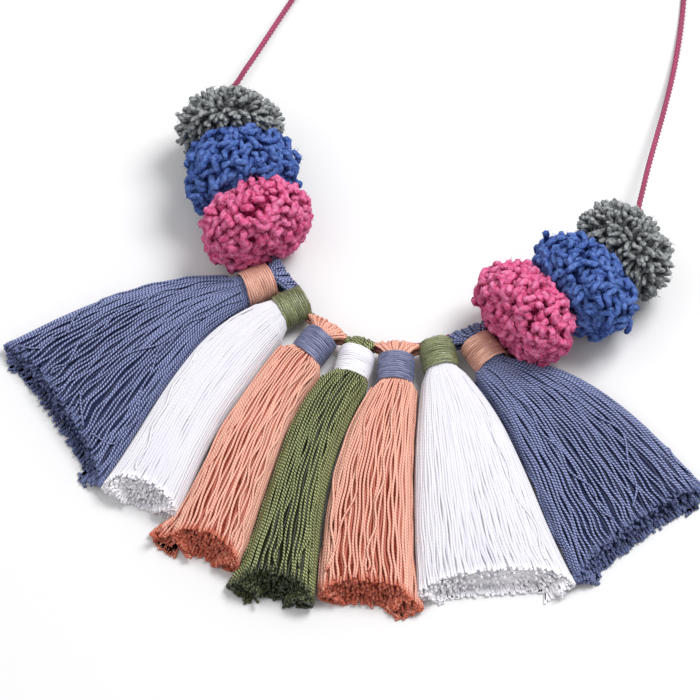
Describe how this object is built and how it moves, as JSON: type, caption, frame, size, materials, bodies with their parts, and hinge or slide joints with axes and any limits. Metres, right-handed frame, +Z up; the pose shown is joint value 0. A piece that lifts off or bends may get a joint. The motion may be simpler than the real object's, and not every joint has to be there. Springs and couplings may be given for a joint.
{
  "type": "tassel necklace",
  "caption": "Necklace of thread tassels with wound necks and yarn pompoms strung on a twisted cord, lying flat.",
  "frame": {"origin": "centre of the neck opening, on the surface that the necklace lies on, midway between the cord at the middle tassel and the clasp", "axes": "+Z up from the surface, +Y from the middle tassel towards the clasp, +X to the right as seen from the tassels"},
  "size_m": [0.233, 0.3477, 0.0346],
  "materials": {
    "periwinkle_thread": "twisted thread with a soft sheen",
    "white_thread": "twisted thread with a soft sheen",
    "salmon_thread": "twisted thread with a soft sheen",
    "olive_thread": "twisted thread with a soft sheen",
    "pink_yarn": "fluffy yarn, matte",
    "blue_yarn": "fluffy yarn, matte",
    "grey_yarn": "fluffy yarn, matte",
    "cord": "twisted cord, satin",
    "clasp_metal": "satin"
  },
  "bodies": {
    "root": {"tassel_1": "periwinkle_thread", "tassel_2": "white_thread", "tassel_3": "salmon_thread", "tassel_4": "olive_thread", "tassel_5": "salmon_thread", "tassel_6": "white_thread", "tassel_7": "periwinkle_thread", "neck_wrap_1": "salmon_thread", "neck_wrap_2": "olive_thread", "neck_wrap_3": "periwinkle_thread", "neck_wrap_4": "white_thread", "neck_wrap_5": "periwinkle_thread", "neck_wrap_6": "olive_thread", "neck_wrap_7": "salmon_thread", "pompom_left_pink": "pink_yarn", "pompom_left_blue": "blue_yarn", "pompom_left_grey": "grey_yarn", "pompom_right_pink": "pink_yarn", "pompom_right_blue": "blue_yarn", "pompom_right_grey": "grey_yarn", "front_cord": "cord", "neck_cord_left": "cord", "neck_cord_right": "cord", "clasp": "clasp_metal"}
  },
  "joints": []
}
